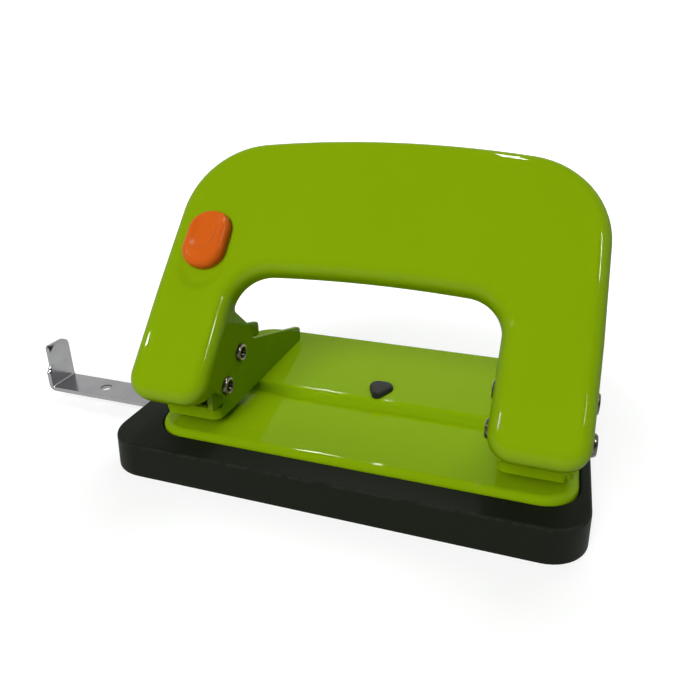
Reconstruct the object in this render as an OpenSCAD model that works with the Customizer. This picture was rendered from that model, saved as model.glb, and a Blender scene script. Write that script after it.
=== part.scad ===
// Two-hole desk punch with a pressed steel lever, two punch units and a slip-on chip tray.
// Millimetres. X runs along the paper edge, Y away from the user, Z up.
// The origin lies on the resting plane, midway between the two punch axes.

/* [Punching] */
// Distance between the two hole centres
hole_spacing = 80; // [70:1:108]
// Diameter of a punched hole
punch_d = 6; // [5:0.1:6.5]
// Distance from the paper stop to the hole centres
paper_margin = 11.7; // [11:0.1:13]
// Height of the paper slot
paper_gap = 2.3; // [1.5:0.1:3]
// Running clearance on a radius
run_gap = 0.05; // [0.02:0.01:0.1]

/* [Base plate] */
// Length of the base plate
plate_l = 99.4; // [96:0.2:106]
// Front edge of the plate, ahead of the hole centres
plate_front = 13.1; // [12.8:0.1:16]
// Rear edge of the plate, behind the hole centres
plate_rear = 48.2; // [44:0.1:56]
// Sheet thickness of the plate
plate_t = 1.2; // [1:0.1:1.5]
// Corner radius of the plate in plan
plate_corner = 8.5; // [7:0.5:10]
// Radius of the rolled edges
plate_edge = 1.6; // [1.5:0.1:1.7]
// Height of the paper band above the tray rim
band_rise = 1.3; // [1:0.1:1.7]
// Depth of the plate's seat below the tray rim
plate_seat = 1; // [0.8:0.1:1.5]

/* [Chip tray] */
// Height of the tray
tray_h = 8.6; // [8:0.1:12]
// Shelf left of the plate
shelf_left = 8.6; // [6:0.2:12]
// Shelf right of the plate
shelf_right = 2.3; // [2.1:0.1:6]
// Shelf ahead of the plate
shelf_front = 7; // [3:0.5:10]
// Shelf behind the plate
shelf_rear = 2.4; // [2.1:0.1:6]
// Floor thickness
tray_floor = 1.6; // [1.2:0.1:1.9]
// Wall thickness
tray_wall = 2; // [1.6:0.1:2.1]
// Corner radius of the tray in plan
tray_corner = 9; // [8:0.5:11]
// Radius of the tray's rim and foot edges
tray_edge = 1; // [0.6:0.1:1.4]
// Gap between the plate and its recess
seat_gap = 0.3; // [0.2:0.05:0.5]

/* [Lever] */
// Lean of the resting lever from upright
lever_lean = 42; // [38:1:46]
// Swing of the lever from rest to pressed
lever_swing = 45; // [35:1:45]
// Width of a lever leg
leg_w = 19.4; // [19:0.1:20.6]
// Leg end below the hinge
leg_drop = 7.6; // [7:0.1:9]
// Lever top above the hinge, along the lever
lever_reach = 61.3; // [56:0.1:70]
// Lower edge of the cross bar above the hinge, along the lever
bar_low = 26.3; // [25:0.1:29]
// Front face of the lever ahead of the hinge
face_out = 11.5; // [11:0.1:13]
// Depth of the lever's turned-in flanges
flange_d = 5.1; // [4.6:0.1:6]
// Sheet thickness of the lever
lever_t = 1.2; // [1:0.1:1.4]
// Radius of the lever's pressed edges
lever_edge = 3.4; // [2.5:0.1:4]
// Radius of the lever's top corners
top_corner = 19; // [14:0.5:22]
// Radius of the crowned top edge
top_crown = 300; // [200:10:600]
// Corner radius at the leg ends
leg_corner = 5.5; // [5:0.1:7]
// Corner radius of the hand opening
open_corner = 8.7; // [6:0.1:12]
// Radius of the crowned upper edge of the hand opening
open_crown = 390; // [250:10:600]
// Ear height above the hinge
ear_up = 16.4; // [16:0.1:17.5]
// Ear drop below the hinge
ear_down = 2.6; // [2.4:0.1:3]
// Ear depth behind the hinge
ear_back = 7.6; // [7:0.1:7.8]
// Corner radius of the ears
ear_corner = 6.5; // [5.5:0.1:7]

/* [Pins and drive] */
// Hinge height above the platform
hinge_rise = 9.4; // [9:0.1:10.5]
// Hinge line ahead of the hole centres
hinge_ahead = 8.5; // [8.2:0.1:9]
// Distance from the hinge to the drive pin
drive_arm = 9.24; // [9:0.02:9.6]
// Angle of the drive pin above level, at rest
drive_angle = 34.2; // [32:0.2:36]
// Shank diameter of the pins
pin_d = 3; // [2.6:0.1:3.2]
// Head diameter of the pins, on the lever's outer sides
pin_head_d = 5.1; // [4.6:0.1:6]
// Diameter of the pins' riveted ends, in the opening
pin_peen_d = 4.5; // [4.2:0.1:5.4]
// Head thickness of the pins
pin_head_h = 0.9; // [0.6:0.1:1.2]

/* [Brackets] */
// Sheet thickness of the brackets
bracket_t = 1.2; // [1:0.1:1.4]
// Gap between a bracket and the lever's ears
side_gap = 0.9; // [0.7:0.05:1.1]
// Front web ahead of the hinge
web_ahead = 1.1; // [0.9:0.1:1.6]
// Height of the front web
web_h = 3; // [2.6:0.1:3.6]
// Outer radius of the bends beside the front web
bend_r = 2.4; // [1.8:0.1:2.8]
// Rear tip of a bracket behind the hole centres
bracket_rear = 41.6; // [39:0.1:43]
// Height of the rear tip
tip_h = 4.2; // [3.6:0.1:4.8]
// Height of the crest over the punch
crest_h = 17; // [16.4:0.1:17.2]
// Rear end of the crest behind the hole centres
crest_rear = 7.6; // [7.3:0.1:8]
// Front end of the sloping top edge behind the hole centres
slope_start = 10.4; // [10:0.1:11]
// Height of the sloping top edge at its front end
slope_h = 13.3; // [13:0.1:13.8]
// Length of a staking tab
tab_l = 6; // [5:0.1:7]
// Projection of a staking tab under the plate
tab_out = 0.7; // [0.4:0.1:1]

/* [Punch units] */
// Wall of the guide barrel
barrel_wall = 0.95; // [0.8:0.05:1.1]
// Floor of the guide barrel
barrel_floor = 0.8; // [0.7:0.1:0.9]
// Head diameter of the punch
head_d = 8.8; // [8.4:0.1:9]
// Punch head above the drive pin
head_above = 3.8; // [3.2:0.1:4.2]
// Metal under the drive slot
head_below = 0.9; // [0.7:0.1:1.1]
// Clearance round the drive pin in its slots
slot_gap = 0.35; // [0.3:0.05:0.45]
// Height of the resting punch tip above the slot's roof
tip_lift = 0.4; // [0.2:0.1:0.8]
// Spring wire diameter
wire_d = 0.7; // [0.6:0.05:0.75]
// Spring coil mean diameter
coil_d = 7.7; // [7.5:0.05:7.9]
// Turns of a punch spring
coil_turns = 4; // [3:1:4]

/* [Lock] */
// Button width across the leg
button_w = 11; // [9:0.1:12]
// Button length along the leg
button_l = 14.6; // [12:0.1:15]
// Button height above the lever face
button_h = 2.7; // [1.8:0.1:3.5]
// Button centre above the hinge, along the lever
button_at = 31; // [30.5:0.1:33]
// Lock travel along the leg
lock_travel = 4.5; // [4:0.1:4.8]
// Depth of the thumb recess in the face
recess_d = 0.45; // [0.3:0.05:0.6]
// Tongue width
tongue_w = 7; // [5:0.1:8]
// Tongue thickness
tongue_t = 1.4; // [1:0.1:1.6]

/* [Paper guide] */
// Strip width
strip_w = 9.2; // [7:0.1:9.6]
// Strip thickness
strip_t = 1.2; // [0.8:0.1:1.2]
// Strip underside above the table
strip_z = 3; // [2.6:0.1:3.2]
// Stop tab's distance from the middle of the punch, as shown
guide_out = 96; // [90:0.1:104]
// Stop tab height above the strip
tab_h = 12.2; // [10:0.1:14]
// Height of the tab's narrow upper part
tab_neck = 7; // [4:0.1:8]
// Inner end of the strip right of the middle
strip_in = 12.5; // [11.5:0.1:13]
// Sliding clearance of the strip
slide_gap = 0.2; // [0.15:0.05:0.3]

/* [Marker] */
// Length of the centre marker
marker_l = 7.8; // [7:0.1:9]
// Width of the centre marker
marker_w = 6.2; // [5:0.1:7]
// Height of the centre marker
marker_h = 1.5; // [1:0.1:2.2]
// Front tip of the marker behind the paper stop
marker_back = 0.9; // [0.7:0.1:3]

/* [Hidden] */
$fn = 64;
green = [0.50, 0.64, 0.04];
steel = [0.72, 0.72, 0.70];
black = [0.13, 0.14, 0.13];
// Overshoot of cutters, and the small gap of fixed fits
eps = 0.5;
fix_gap = 0.02;
// Arc steps of an outline corner and of a rolled edge
arc_steps = 7;
roll_steps = 5;

// Heights
rim_z = tray_h;
seat_z = rim_z - plate_seat;
band_z = rim_z + band_rise;
platform_z = band_z + paper_gap;
hinge_z = platform_z + hinge_rise;
hinge_y = -hinge_ahead;
drive_y = hinge_y + drive_arm * cos(drive_angle);
drive_z = hinge_z + drive_arm * sin(drive_angle);
stroke = drive_arm * (sin(drive_angle) - sin(drive_angle - lever_swing));
half = hole_spacing / 2;
pin_r = pin_d / 2;

// Tray outline
tray_x0 = -plate_l / 2 - seat_gap - shelf_left;
tray_x1 = plate_l / 2 + seat_gap + shelf_right;
tray_y0 = -plate_front - seat_gap - shelf_front;
tray_y1 = plate_rear + seat_gap + shelf_rear;
// Width of the ledge that carries the plate's skirt
ledge = plate_t + 1.8;
chip_corner = 2;

// Lever frame: X across, Y up along the lever from the hinge, Z out of its front face
lever_half = half + leg_w / 2;
leg_in = half - leg_w / 2;
flange_n = face_out - flange_d;
// The ears lie this far inside both faces of the flange they grow from
ear_inset = 0.05;
drive_s = drive_arm * cos(90 - lever_lean - drive_angle);
drive_n = drive_arm * -sin(90 - lever_lean - drive_angle);
crown_tilt = asin((lever_half - top_corner) / (top_crown - top_corner));
crown_s = lever_reach - top_crown;
open_tilt = asin((leg_in - open_corner) / (open_crown - open_corner));
open_s = bar_low - open_crown + (open_crown - open_corner) * cos(open_tilt);
corner_s = crown_s + (top_crown - top_corner) * cos(crown_tilt);

// Bracket places
bracket_w = leg_w - 2 * (lever_t + side_gap);
bracket_front = hinge_y - web_ahead;
bracket_in = bracket_w / 2 - bracket_t;
slope = (slope_h - tip_h) / (bracket_rear - slope_start);
tab_y = [paper_margin + 5, bracket_rear - 3 - tab_l];
arc_margin = 4;
cheek_front = hinge_y - 3.7;
bend_y = bracket_front + bend_r;
web_top = platform_z + web_h;
bridge_w = 1.8;

// Catch that the lock tongue hooks under, folded from the outer side
catch_y = slope_start + 1.7;
catch_l = 2.9;
catch_top = platform_z + 16.5;
catch_w = bracket_w / 2 + 1.2;
catch_foot = platform_z + slope_h - (catch_y + catch_l - slope_start) * slope - 1;

// Punch unit places
flange_top = platform_z + bracket_t;
barrel_r = head_d / 2 + run_gap;
spigot_r = punch_d / 2 + 1;
shoulder_z = drive_z - pin_r - slot_gap - head_below;
spring_z0 = flange_top + barrel_floor;
slot_y0 = min(drive_y, hinge_y + drive_arm * cos(drive_angle - lever_swing)) - pin_r - slot_gap;
slot_y1 = hinge_y + drive_arm + pin_r + slot_gap;

// Lock places, in the lever frame
button_x = -half + 1;
catch_far = norm([catch_y + catch_l - hinge_y, catch_top - hinge_z]);
tongue_tip = catch_far + 0.7;
pressed_tilt = 90 - lever_lean - lever_swing;
catch_under = catch_top - bracket_t - 0.45;
tongue_n = (catch_under - hinge_z - tongue_tip * sin(pressed_tilt)) / cos(pressed_tilt);
tongue_s1 = button_at + button_l / 2 - 2.5;
tongue_lead = 3.5;
face_in = face_out - lever_t;
plate_under = face_in - 0.1;
recess_gap = 0.8;
stem_w = 4;
stem_l = 5;
screw_r = 1;
screw_head_r = 1.9;
screw_head_h = 1.3;

// Paper guide places
strip_y = punch_d / 2 + 1.1 + strip_w / 2;
strip_top = strip_z + strip_t;
keeper_x = -plate_l / 2 - 0.3;
keeper_w = 6;
keeper_t = 1;
keeper_lip = 2.4;
keeper_reach = strip_w / 2 + 3.2;
keeper_screw_r = 0.9;
keeper_head_r = 1.8;
keeper_head_h = 0.9;
stop_x = strip_in - 3.5;
stop_r = 1.5;
stop_head_r = 2.2;

// Marker places
marker_y = paper_margin + marker_back;
marker_shank_r = 1.6;

// Points along tangent arcs [centre x, centre y, radius, start, end, +1 convex or -1 hollow], drawn in
// by an inset.
function arc_ring(arcs, inset, z) = [
    for (a = arcs)
        for (i = [0 : arc_steps])
            let (t = a[3] + (a[4] - a[3]) * i / arc_steps, r = a[2] - a[5] * inset)
                [a[0] + r * cos(t), a[1] + r * sin(t), z]
];

// Arcs of a rectangle with round corners
function box_arcs(x0, y0, x1, y1, r) = [
    [x1 - r, y0 + r, r, 270, 360, 1],
    [x1 - r, y1 - r, r, 0, 90, 1],
    [x0 + r, y1 - r, r, 90, 180, 1],
    [x0 + r, y0 + r, r, 180, 270, 1]
];

// Rings of a wall from z0 that rolls over at z1 with radius r
function rolled_rings(arcs, inset, z0, z1, r) = concat(
    [arc_ring(arcs, inset, z0)],
    [for (i = [0 : roll_steps])
        let (t = 90 * i / roll_steps)
            arc_ring(arcs, inset + r * (1 - cos(t)), z1 - r * (1 - sin(t)))]
);

// Rings of a foot that rolls out from z0 with radius r
function foot_rings(arcs, z0, r) = [
    for (i = [0 : roll_steps])
        let (t = 90 * i / roll_steps)
            arc_ring(arcs, r * (1 - sin(t)), z0 + r * (1 - cos(t)))
];

module loft(rings) {
    n = len(rings[0]);
    last = len(rings) - 1;
    sides = [
        for (k = [0 : last - 1])
            for (i = [0 : n - 1])
                let (a = k * n + i, b = k * n + (i + 1) % n)
                    each [[a, a + n, b + n], [a, b + n, b]]
    ];
    // Each cap is a strip between the two halves of its ring
    cap = [
        for (i = [0 : n / 2 - 2])
            each [[i, i + 1, n - 1 - i], [i + 1, n - 2 - i, n - 1 - i]]
    ];
    top = [for (f = cap) [last * n + f[2], last * n + f[1], last * n + f[0]]];
    polyhedron(points = [for (r = rings) each r], faces = concat(cap, sides, top), convexity = 8);
}

module round_box(x0, y0, x1, y1, r) {
    translate([x0 + r, y0]) square([x1 - x0 - 2 * r, y1 - y0]);
    translate([x0, y0 + r]) square([x1 - x0, y1 - y0 - 2 * r]);
    for (x = [x0 + r, x1 - r], y = [y0 + r, y1 - r])
        translate([x, y]) circle(r);
}

// Extrudes a profile drawn in Y and Z along X, centred on x
module along_x(x, width) {
    translate([x - width / 2, 0, 0])
        rotate([90, 0, 90])
            linear_extrude(width) children();
}

module in_lever_frame() {
    translate([0, hinge_y, hinge_z])
        rotate([90 - lever_lean, 0, 0])
            children();
}

module base_tray() {
    outer = box_arcs(tray_x0, tray_y0, tray_x1, tray_y1, tray_corner);
    seat = box_arcs(-plate_l / 2 - seat_gap, -plate_front - seat_gap, plate_l / 2 + seat_gap,
                    plate_rear + seat_gap, plate_corner + seat_gap);
    inner = plate_l / 2 - ledge;
    slot_w = strip_w + 2 * slide_gap;
    color(black) {
        difference() {
            loft(concat(foot_rings(outer, 0, tray_edge),
                        rolled_rings(outer, 0, rim_z / 2, rim_z, tray_edge)));
            translate([0, 0, seat_z]) loft([arc_ring(seat, 0, 0), arc_ring(seat, 0, plate_seat + eps)]);
            // Chip space under the plate, and the hollow under the left shelf
            translate([0, 0, tray_floor])
                linear_extrude(tray_h)
                    round_box(-inner, -plate_front + ledge, inner, plate_rear - ledge, chip_corner);
            translate([tray_x0 + tray_wall, tray_y0 + tray_corner, tray_floor])
                cube([shelf_left + ledge, tray_y1 - tray_y0 - 2 * tray_corner,
                      seat_z - tray_floor - tray_wall / 2]);
            translate([tray_x0 - eps, strip_y - slot_w / 2, strip_z - slide_gap])
                cube([tray_wall + 2 * eps, slot_w, strip_t + 2 * slide_gap]);
        }
        // Sleepers under the strip
        for (x = [tray_x0 + tray_wall + 1.5, -half + 4, -half / 2, 0])
            translate([x, strip_y - slot_w / 2, tray_floor - eps])
                cube([2, slot_w, strip_z - 0.1 - tray_floor + eps]);
        for (side = [-1, 1])
            keeper_place(side)
                translate([0, 0, tray_floor - eps])
                    difference() {
                        cylinder(h = strip_top + slide_gap - tray_floor + eps, r = keeper_head_r + 0.4);
                        translate([0, 0, eps + 0.6]) cylinder(h = tray_h, r = keeper_screw_r + fix_gap);
                    }
    }
}

module keeper_place(side) {
    translate([keeper_x, strip_y + side * keeper_reach, 0]) children();
}

module base_plate() {
    plan = box_arcs(-plate_l / 2, -plate_front, plate_l / 2, plate_rear, plate_corner);
    step = box_arcs(-plate_l / 2, paper_margin, plate_l / 2, plate_rear, plate_corner);
    front = [[plate_l / 2 - plate_edge, paper_margin + plate_edge, plate_edge, 270, 360, 1],
             [-plate_l / 2 + plate_edge, paper_margin + plate_edge, plate_edge, 180, 270, 1]];
    upper = [front[0], step[1], step[2], front[1]];
    color(green)
        difference() {
            union() {
                loft(rolled_rings(plan, 0, seat_z, band_z, plate_edge));
                loft(rolled_rings(upper, 0, seat_z, platform_z, plate_edge - 0.1));
            }
            translate([0, 0, -eps])
                loft([arc_ring(plan, plate_t, seat_z), arc_ring(plan, plate_t, band_z - plate_t + eps)]);
            translate([0, 0, -eps])
                loft([arc_ring(upper, plate_t, seat_z),
                      arc_ring(upper, plate_t, platform_z - plate_t + eps)]);
            for (side = [-1, 1]) {
                translate([side * half, 0, 0]) cylinder(h = platform_z, r = punch_d / 2 + run_gap);
                for (wall = [-1, 1], y = tab_y)
                    translate([side * half + wall * (bracket_w - bracket_t) / 2, y + tab_l / 2, platform_z])
                        cube([bracket_t + 0.2, tab_l + 0.2, 3 * plate_t], center = true);
            }
            translate([0, marker_y + marker_l * 0.6, 0])
                cylinder(h = 2 * platform_z, r = marker_shank_r + fix_gap);
        }
}

module centre_marker() {
    tip_r = 1;
    back_r = 1.4;
    corners = [[0, tip_r, tip_r], [marker_w / 2 - back_r, marker_l - back_r, back_r],
               [back_r - marker_w / 2, marker_l - back_r, back_r]];
    color(black)
        translate([0, marker_y, platform_z]) {
            hull() {
                for (c = corners) {
                    translate([c[0], c[1], 0]) cylinder(h = marker_h * 0.6, r = c[2], $fn = 24);
                    translate([c[0], c[1], 0]) cylinder(h = marker_h, r = c[2] * 0.55, $fn = 24);
                }
            }
            translate([0, marker_l * 0.6, -plate_t - 1.2]) cylinder(h = plate_t + 1.3, r = marker_shank_r);
        }
}

// Points of an arc from angle a0 towards a1, the last one left to the next arc
function arc_points(centre, r, a0, a1, steps) = [
    for (i = [0 : steps - 1])
        let (t = a0 + (a1 - a0) * i / steps) centre + r * [cos(t), sin(t)]
];

// Curved slot along the path of the drive pin
module drive_slot(r) {
    centre = [hinge_y, hinge_z];
    a0 = drive_angle - lever_swing - arc_margin;
    a1 = drive_angle + arc_margin;
    polygon(concat(
        arc_points(centre, drive_arm + r, a0, a1, 14),
        arc_points(centre + drive_arm * [cos(a1), sin(a1)], r, a1, a1 + 180, 10),
        arc_points(centre, drive_arm - r, a1, a0, 14),
        arc_points(centre + drive_arm * [cos(a0), sin(a0)], r, a0 + 180, a0 + 360, 10)
    ));
}

module bracket_side() {
    tip_r = 1.2;
    relief = 0.8;
    difference() {
        union() {
            polygon([
                [bend_y, platform_z],
                [bracket_rear, platform_z],
                [bracket_rear, platform_z + tip_h - tip_r],
                [bracket_rear - tip_r, platform_z + tip_h + tip_r * slope],
                [slope_start, platform_z + slope_h],
                [crest_rear, platform_z + crest_h],
                [hinge_y + 4, platform_z + crest_h],
                [cheek_front, hinge_z + 2.5],
                [cheek_front, web_top + 2 * relief],
                [cheek_front + relief, web_top + relief],
                [bend_y, web_top + relief]
            ]);
            for (y = tab_y)
                translate([y, platform_z - plate_t - tab_out]) square([tab_l, plate_t + tab_out + eps]);
        }
        translate([hinge_y, hinge_z]) circle(pin_r + fix_gap);
        drive_slot(pin_r + slot_gap);
    }
}

// Plan of the front web with its two bends
module front_bends() {
    side = bracket_w / 2;
    left = [bend_r - side, bend_y];
    right = [side - bend_r, bend_y];
    back = bend_y + 1;
    steps = 8;
    polygon(concat(
        [[-side, back]], arc_points(left, bend_r, 180, 270, steps), [[left[0], bracket_front]],
        arc_points(right, bend_r, 270, 360, steps), [[side, bend_y], [side, back], [bracket_in, back]],
        arc_points(right, bend_r - bracket_t, 360, 270, steps), [[right[0], bracket_front + bracket_t]],
        arc_points(left, bend_r - bracket_t, 270, 180, steps), [[-bracket_in, bend_y], [-bracket_in, back]]
    ));
}

module bracket(side) {
    outer = side * (bracket_w - bracket_t) / 2;
    flange_front = bracket_front + bracket_t * 0.75;
    color(green)
        translate([side * half, 0, 0]) {
            for (wall = [-1, 1])
                along_x(wall * (bracket_w - bracket_t) / 2, bracket_t) bracket_side();
            difference() {
                translate([0, 0, platform_z]) linear_extrude(web_h) front_bends();
                // Relief at the foot of the outer bend
                translate([side * (bracket_w / 2 - bend_r), bend_y, platform_z - eps])
                    rotate([0, 0, -90 + side * 45])
                        translate([0, -0.8, 0]) cube([2 * bend_r, 1.6, 1.8 + eps]);
            }
            // Bridge between the two crests
            along_x(0, 2 * bracket_in + eps)
                translate([crest_rear - bridge_w, platform_z + crest_h - bracket_t])
                    square([bridge_w, bracket_t]);
            // Flange that strips the paper and carries the guide barrel
            difference() {
                translate([-bracket_in - eps / 2, flange_front, platform_z])
                    cube([2 * bracket_in + eps, barrel_r + barrel_wall + 1 - flange_front, bracket_t]);
                translate([0, 0, platform_z - eps]) cylinder(h = bracket_t + 2 * eps, r = spigot_r + fix_gap);
            }
            // Catch for the lock tongue
            along_x(outer, bracket_t)
                translate([catch_y, catch_foot]) square([catch_l, catch_top - catch_foot]);
            along_x(side * (bracket_w - catch_w) / 2, catch_w)
                translate([catch_y, catch_top - bracket_t]) square([catch_l, bracket_t]);
        }
}

module left_bracket() { bracket(-1); }

module right_bracket() { bracket(1); }

// Pin along X through the lever's ears, headed on the outer side and riveted inside, with dished ends
module headed_pin(reach, side) {
    color(steel)
        rotate([0, 90, 0])
            difference() {
                union() {
                    cylinder(h = 2 * reach, r = pin_r, center = true);
                    for (end = [-1, 1])
                        translate([0, 0, end * (reach + pin_head_h / 2)])
                            cylinder(h = pin_head_h, d = end == side ? pin_head_d : pin_peen_d, center = true);
                }
                for (end = [-1, 1])
                    translate([0, 0, end * (reach + pin_head_h)])
                        cylinder(h = 1.4, r = pin_r * 0.8, center = true);
            }
}

module hinge_pin(side) {
    translate([side * half, hinge_y, hinge_z]) headed_pin(leg_w / 2 + 0.1, side);
}

module drive_pin(side) {
    translate([side * half, drive_y, drive_z]) headed_pin(leg_w / 2, side);
}

module left_hinge_pin() { hinge_pin(-1); }

module right_hinge_pin() { hinge_pin(1); }

module left_drive_pin() { drive_pin(-1); }

module right_drive_pin() { drive_pin(1); }

function lever_arcs() = [
    [lever_half - leg_corner, leg_corner - leg_drop, leg_corner, 270, 360, 1],
    [lever_half - top_corner, corner_s, top_corner, 0, 90 - crown_tilt, 1],
    [0, crown_s, top_crown, 90 - 0.8 * crown_tilt, 90 + 0.8 * crown_tilt, 1],
    [top_corner - lever_half, corner_s, top_corner, 90 + crown_tilt, 180, 1],
    [leg_corner - lever_half, leg_corner - leg_drop, leg_corner, 180, 270, 1],
    [-leg_in - leg_corner, leg_corner - leg_drop, leg_corner, 270, 360, 1],
    [open_corner - leg_in, open_s, open_corner, 180, 90 + open_tilt, -1],
    [0, bar_low - open_crown, open_crown, 90 + 0.8 * open_tilt, 90 - 0.8 * open_tilt, -1],
    [leg_in - open_corner, open_s, open_corner, 90 - open_tilt, 0, -1],
    [leg_in + leg_corner, leg_corner - leg_drop, leg_corner, 180, 270, 1]
];

// Ear outline in the lever's Y and Z, filleted into the flange at its upper end
module ear_side() {
    root = face_out - lever_edge;
    fillet_r = 1.2;
    bite = 0.15;
    low = [ear_corner - ear_down, ear_corner - ear_back];
    high = [ear_up - ear_corner, ear_corner - ear_back];
    fillet = [ear_up + fillet_r, flange_n - fillet_r + bite];
    difference() {
        polygon(concat(
            [[-ear_down, root]],
            arc_points(low, ear_corner, 180, 270, 10), [[low[0], -ear_back]],
            arc_points(high, ear_corner, 270, 360, 10), [[ear_up, high[1]]],
            arc_points(fillet, fillet_r, 180, 90, 6), [[fillet[0], flange_n + bite], [fillet[0], root]]
        ));
        circle(pin_r + run_gap);
        translate([drive_s, drive_n]) circle(pin_r + fix_gap);
    }
}

module lever() {
    arcs = lever_arcs();
    outer = concat(rolled_rings(arcs, 0, flange_n, face_out - fix_gap, lever_edge),
                   [arc_ring(arcs, lever_edge, face_out + eps)]);
    inner = rolled_rings(arcs, lever_t, flange_n, face_in, lever_edge - lever_t);
    recess = box_arcs(
        button_x - button_w / 2 - recess_gap, button_at - button_l / 2 - lock_travel - recess_gap,
        button_x + button_w / 2 + recess_gap, button_at + button_l / 2 + recess_gap, button_w / 2);
    color(green)
        in_lever_frame()
            difference() {
                union() {
                    // The pressed shell, its face trimmed flat
                    difference() {
                        loft(concat([for (i = [len(inner) - 1 : -1 : 0]) inner[i]], outer));
                        translate([-2 * lever_half, -2 * lever_reach, face_out])
                            cube([4 * lever_half, 4 * lever_reach, 2 * eps]);
                    }
                    for (side = [-1, 1], wall = [-1, 1])
                        along_x(side * half + wall * (leg_w - lever_t) / 2, lever_t - 2 * ear_inset)
                            ear_side();
                }
                // Thumb recess and the slot for the button's stem
                translate([0, 0, face_out - recess_d])
                    linear_extrude(recess_d + eps)
                        polygon([for (p = arc_ring(recess, 0, 0)) [p[0], p[1]]]);
                translate([button_x - stem_w / 2 - 0.2,
                           button_at - stem_l / 2 - lock_travel - 0.2, face_in - eps])
                    cube([stem_w + 0.4, stem_l + lock_travel + 0.4, lever_t + 2 * eps]);
            }
}

module punch(side) {
    tip_z = platform_z + tip_lift;
    top_z = drive_z + head_above;
    color(steel)
        translate([side * half, 0, 0])
            difference() {
                union() {
                    translate([0, 0, tip_z]) cylinder(h = shoulder_z - tip_z + eps, r = punch_d / 2);
                    translate([0, 0, shoulder_z]) cylinder(h = top_z - shoulder_z, r = head_d / 2);
                }
                // Slot that the drive pin slides in
                translate([-head_d, slot_y0, drive_z - pin_r - slot_gap])
                    cube([2 * head_d, slot_y1 - slot_y0, pin_d + 2 * slot_gap]);
                // Hollow across the cutting end
                translate([0, 0, tip_z - punch_d * 0.72])
                    rotate([90, 0, 0])
                        cylinder(h = 2 * punch_d, r = punch_d * 0.86, center = true);
            }
}

module left_punch() { punch(-1); }

module right_punch() { punch(1); }

module guide_barrel(side) {
    top_z = platform_z + crest_h - 0.4;
    cut_z = drive_z - stroke - pin_r - slot_gap;
    color(steel)
        translate([side * half, 0, 0])
            difference() {
                union() {
                    translate([0, 0, platform_z]) cylinder(h = bracket_t + eps, r = spigot_r);
                    translate([0, 0, flange_top])
                        cylinder(h = top_z - flange_top, r = barrel_r + barrel_wall);
                }
                translate([0, 0, platform_z - eps]) cylinder(h = top_z, r = punch_d / 2 + run_gap);
                translate([0, 0, spring_z0]) cylinder(h = top_z, r = barrel_r);
                translate([-2 * barrel_r, slot_y0, cut_z]) cube([4 * barrel_r, slot_y1 - slot_y0, top_z]);
            }
}

module left_guide_barrel() { guide_barrel(-1); }

module right_guide_barrel() { guide_barrel(1); }

// Coil centre line, from the barrel floor to the punch's shoulder
coil_rings = 8 * coil_turns;
coil_sides = 6;
coil_h = shoulder_z - spring_z0 - wire_d - fix_gap;
function coil_point(i) =
    let (t = i / coil_rings)
        [coil_d / 2 * cos(360 * coil_turns * t), coil_d / 2 * sin(360 * coil_turns * t), coil_h * t];
function coil_ring(i) =
    let (a = 360 * coil_turns * i / coil_rings, c = coil_point(i))
        [for (k = [0 : coil_sides - 1])
            let (p = 360 * (k + 0.5) / coil_sides)
                c + wire_d / 2 * [cos(p) * cos(a), cos(p) * sin(a), sin(p)]];
coil_gap = min([for (i = [0 : coil_rings - 8]) norm(coil_point(i + 8) - coil_point(i)) - wire_d]);
echo(least_gap_between_spring_turns = coil_gap);

module coil() {
    points = [for (i = [0 : coil_rings]) each coil_ring(i)];
    m = coil_sides;
    sides = [
        for (i = [0 : coil_rings - 1])
            for (k = [0 : m - 1])
                let (a = i * m + k, b = i * m + (k + 1) % m)
                    each [[a, b, b + m], [a, b + m, a + m]]
    ];
    first = [for (k = [m - 1 : -1 : 0]) k];
    final = [for (k = [0 : m - 1]) coil_rings * m + k];
    polyhedron(points = points, faces = concat([first], sides, [final]), convexity = 12);
}

module punch_spring(side) {
    color(steel)
        translate([side * half, 0, spring_z0 + wire_d / 2]) coil();
}

module left_spring() { punch_spring(-1); }

module right_spring() { punch_spring(1); }

module lock_button() {
    arcs = box_arcs(button_x - button_w / 2, button_at - button_l / 2, button_x + button_w / 2,
                    button_at + button_l / 2, button_w / 2 - 0.3);
    dish_r = 22;
    color([0.84, 0.33, 0.08])
        in_lever_frame()
            difference() {
                union() {
                    loft(rolled_rings(arcs, 0, face_out - recess_d + 0.1, face_out + button_h, 1.6));
                    translate([button_x - stem_w / 2, button_at - stem_l / 2, plate_under])
                        cube([stem_w, stem_l, lever_t + eps]);
                }
                // Thumb dish
                translate([button_x, button_at, face_out + button_h + dish_r - 0.7])
                    rotate([0, 90, 0])
                        cylinder(h = 2 * button_w, r = dish_r, center = true);
                translate([button_x, button_at, plate_under - eps])
                    cylinder(h = 2.2 + eps, r = screw_r + fix_gap);
            }
}

module lock_tongue() {
    color(steel)
        in_lever_frame()
            difference() {
                // A folded strip: slide plate, riser and hooked foot
                along_x(button_x, tongue_w)
                    polygon([
                        [tongue_tip, tongue_n - tongue_t],
                        [tongue_s1, tongue_n - tongue_t],
                        [tongue_s1, plate_under],
                        [button_at - tongue_lead, plate_under],
                        [button_at - tongue_lead, plate_under - tongue_t],
                        [tongue_s1 - tongue_t, plate_under - tongue_t],
                        [tongue_s1 - tongue_t, tongue_n],
                        [tongue_tip, tongue_n]
                    ]);
                translate([button_x, button_at, 0]) cylinder(h = face_out, r = screw_r + fix_gap);
            }
}

module lock_screw() {
    color(steel)
        in_lever_frame()
            translate([button_x, button_at, plate_under - tongue_t]) {
                translate([0, 0, -screw_head_h]) cylinder(h = screw_head_h, r = screw_head_r);
                translate([0, 0, -eps]) cylinder(h = tongue_t + 2 + eps, r = screw_r);
            }
}

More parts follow.
